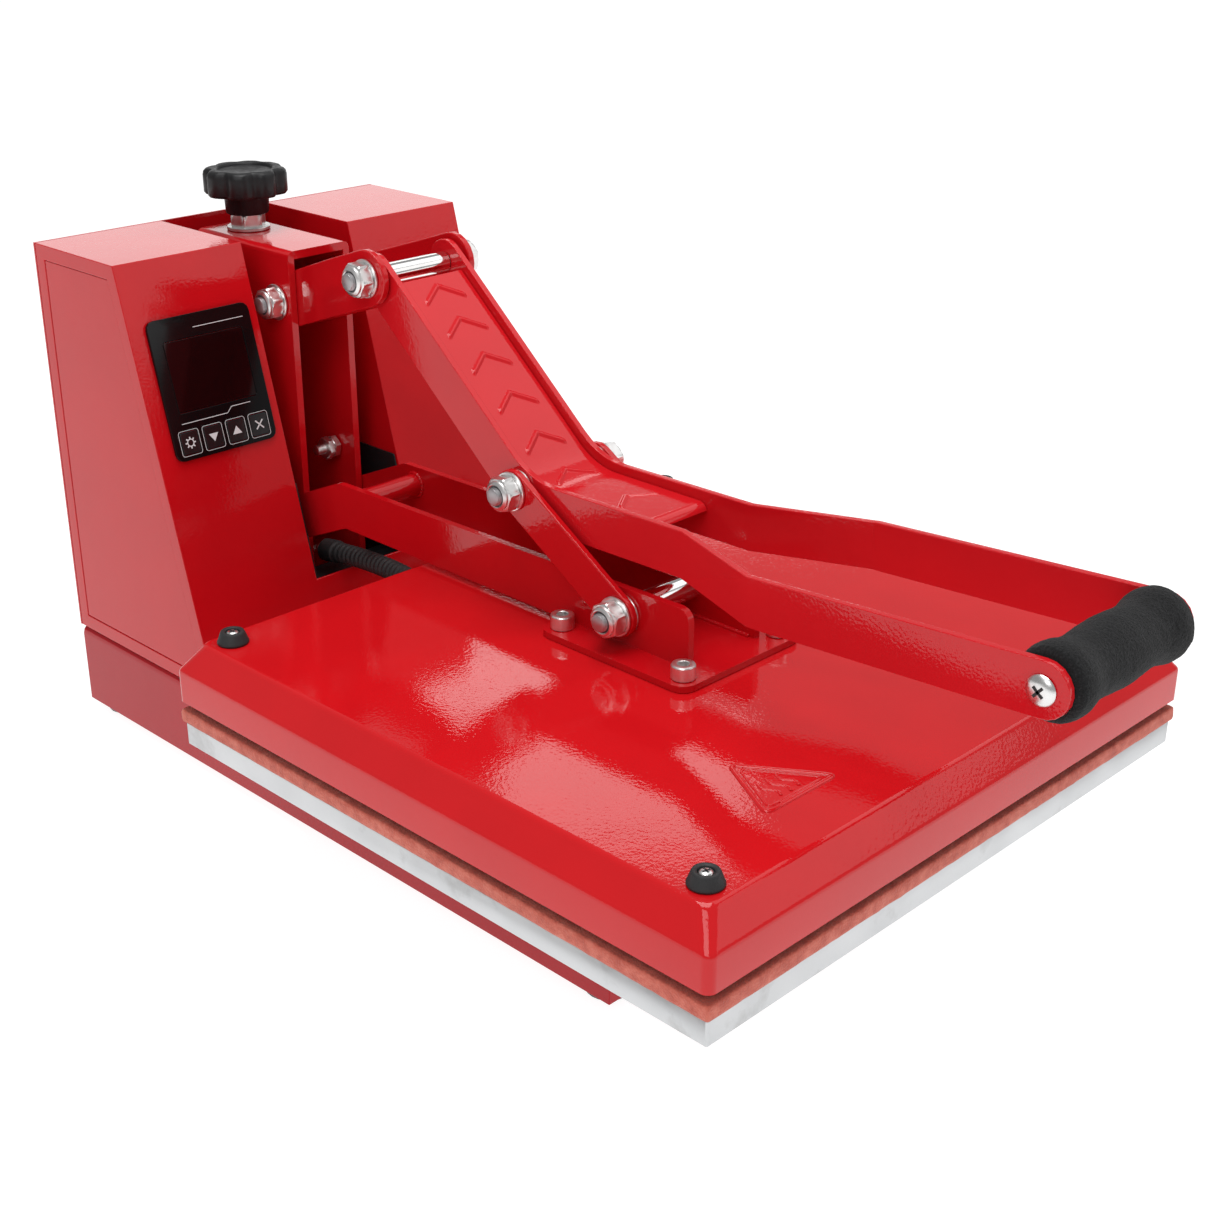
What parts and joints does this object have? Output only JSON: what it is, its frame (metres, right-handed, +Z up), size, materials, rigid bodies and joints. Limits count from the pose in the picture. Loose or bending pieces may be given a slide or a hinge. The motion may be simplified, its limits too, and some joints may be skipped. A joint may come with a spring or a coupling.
{
  "type": "clamshell heat press",
  "caption": "Clamshell heat press with a square platen, toggle lever, pressure knob and slanted control fascia, shown closed.",
  "frame": {"origin": "on the floor, under the middle of the whole press's box, with the press closed", "axes": "+Z up, -Y to the operator's side where the grip is, +X to the operator's right"},
  "size_m": [0.384, 0.6823, 0.3419],
  "materials": {
    "red_powder_coat": "gloss powder coat",
    "cast_aluminium": "satin",
    "silicone_foam": "open-pored matt foam",
    "zinc_plate": "bright zinc",
    "chrome_plate": "polished",
    "black_rubber": "matt",
    "black_plastic": "moulded, fine grain",
    "black_foam": "grainy foam",
    "fascia_black": "gloss",
    "display_window": "dark tinted gloss",
    "key_black": "gloss",
    "insulation": "matt fibre",
    "circuit_board": "satin"
  },
  "bodies": {
    "base": {"base_shell": "red_powder_coat", "foot_front_left": "black_rubber", "foot_front_right": "black_rubber", "foot_rear_left": "black_rubber", "foot_rear_right": "black_rubber", "platen_stand": "red_powder_coat", "lower_platen": "cast_aluminium", "silicone_pad": "silicone_foam", "housing_shell": "red_powder_coat", "side_panel_left": "red_powder_coat", "side_panel_right": "red_powder_coat", "rear_cover": "red_powder_coat", "post": "red_powder_coat", "hinge_shaft": "zinc_plate", "stop_stud": "zinc_plate", "short_bracket": "red_powder_coat", "bracket_bolt": "zinc_plate", "lever_pivot_bolt": "zinc_plate", "post_nut": "zinc_plate", "fascia": "fascia_black", "display_window": "display_window", "controller_board": "circuit_board", "relay_heat_sink": "cast_aluminium", "power_inlet": "black_plastic", "switch_bezel": "black_plastic", "fuse_holder": "black_plastic", "heater_conduit": "black_rubber"},
    "lever": {"lever_plate_left": "red_powder_coat", "lever_plate_right": "red_powder_coat", "lever_web": "red_powder_coat", "lever_spacer": "chrome_plate", "lever_cross_bolt": "zinc_plate", "grip_rod": "zinc_plate", "grip_foam": "black_foam"},
    "upper_platen": {"platen_carrier": "red_powder_coat", "carrier_screw_rear_left": "zinc_plate", "carrier_screw_rear_right": "zinc_plate", "carrier_screw_front_left": "zinc_plate", "carrier_screw_front_right": "zinc_plate", "bumper_front_left": "black_rubber", "bumper_front_right": "black_rubber", "bumper_rear_left": "black_rubber", "bumper_rear_right": "black_rubber", "ear_bolt": "zinc_plate", "ear_spacer": "chrome_plate", "platen_cover": "red_powder_coat", "heat_plate": "cast_aluminium", "insulation_blanket": "insulation"},
    "links": {"link_left": "red_powder_coat", "link_right": "red_powder_coat", "link_nut": "zinc_plate", "link_bolt_head": "zinc_plate"},
    "screw_foot": {"thrust_pad": "zinc_plate"},
    "knob_and_screw": {"knob": "black_plastic", "pressure_screw": "zinc_plate"},
    "menu_button": {"key_menu": "key_black"},
    "down_button": {"key_down": "key_black"},
    "up_button": {"key_up": "key_black"},
    "clear_button": {"key_clear": "key_black"},
    "rocker": {"power_rocker": "black_plastic"}
  },
  "joints": [
    {"name": "lever_swing", "type": "hinge", "parent": "base", "child": "lever", "pos_m": [0, 0.13585, 0.3048], "axis": [-1, 0, 0], "range_deg": [0, 100]},
    {"name": "platen_lift", "type": "hinge", "parent": "base", "child": "upper_platen", "pos_m": [0, 0.24235, 0.128], "axis": [-1, 0, 0], "range_deg": [0, 40.5]},
    {"name": "link_swing", "type": "hinge", "parent": "upper_platen", "child": "links", "pos_m": [0, -0.06165, 0.1595], "axis": [1, 0, 0], "range_deg": [0, 80.2]},
    {"name": "screw_feed", "type": "slide", "parent": "base", "child": "screw_foot", "axis": [0, 0, 1], "range_m": [0, 0.008]},
    {"name": "knob_turn", "type": "hinge", "parent": "screw_foot", "child": "knob_and_screw", "pos_m": [0, 0.29585, 0.3139], "axis": [0, 0, 1], "range_deg": [0, 1646]},
    {"name": "menu_press", "type": "slide", "parent": "base", "child": "menu_button", "axis": [0, 0.9664, -0.2572], "range_m": [0, 0.0005], "stiffness_N_per_m": 400, "springref_m": -0.0003},
    {"name": "down_press", "type": "slide", "parent": "base", "child": "down_button", "axis": [0, 0.9664, -0.2572], "range_m": [0, 0.0005], "stiffness_N_per_m": 400, "springref_m": -0.0003},
    {"name": "up_press", "type": "slide", "parent": "base", "child": "up_button", "axis": [0, 0.9664, -0.2572], "range_m": [0, 0.0005], "stiffness_N_per_m": 400, "springref_m": -0.0003},
    {"name": "clear_press", "type": "slide", "parent": "base", "child": "clear_button", "axis": [0, 0.9664, -0.2572], "range_m": [0, 0.0005], "stiffness_N_per_m": 400, "springref_m": -0.0003},
    {"name": "rocker_tilt", "type": "hinge", "parent": "base", "child": "rocker", "pos_m": [-0.0605, 0.33015, 0.094], "axis": [-1, 0, 0], "range_deg": [0, 12]}
  ],
  "couplings": [
    {"joint": "platen_lift", "follows": "lever_swing", "ratio": 0.40472},
    {"joint": "link_swing", "follows": "lever_swing", "ratio": 0.80106},
    {"joint": "knob_turn", "follows": "screw_feed", "rad_per_m": 3590.4}
  ]
}
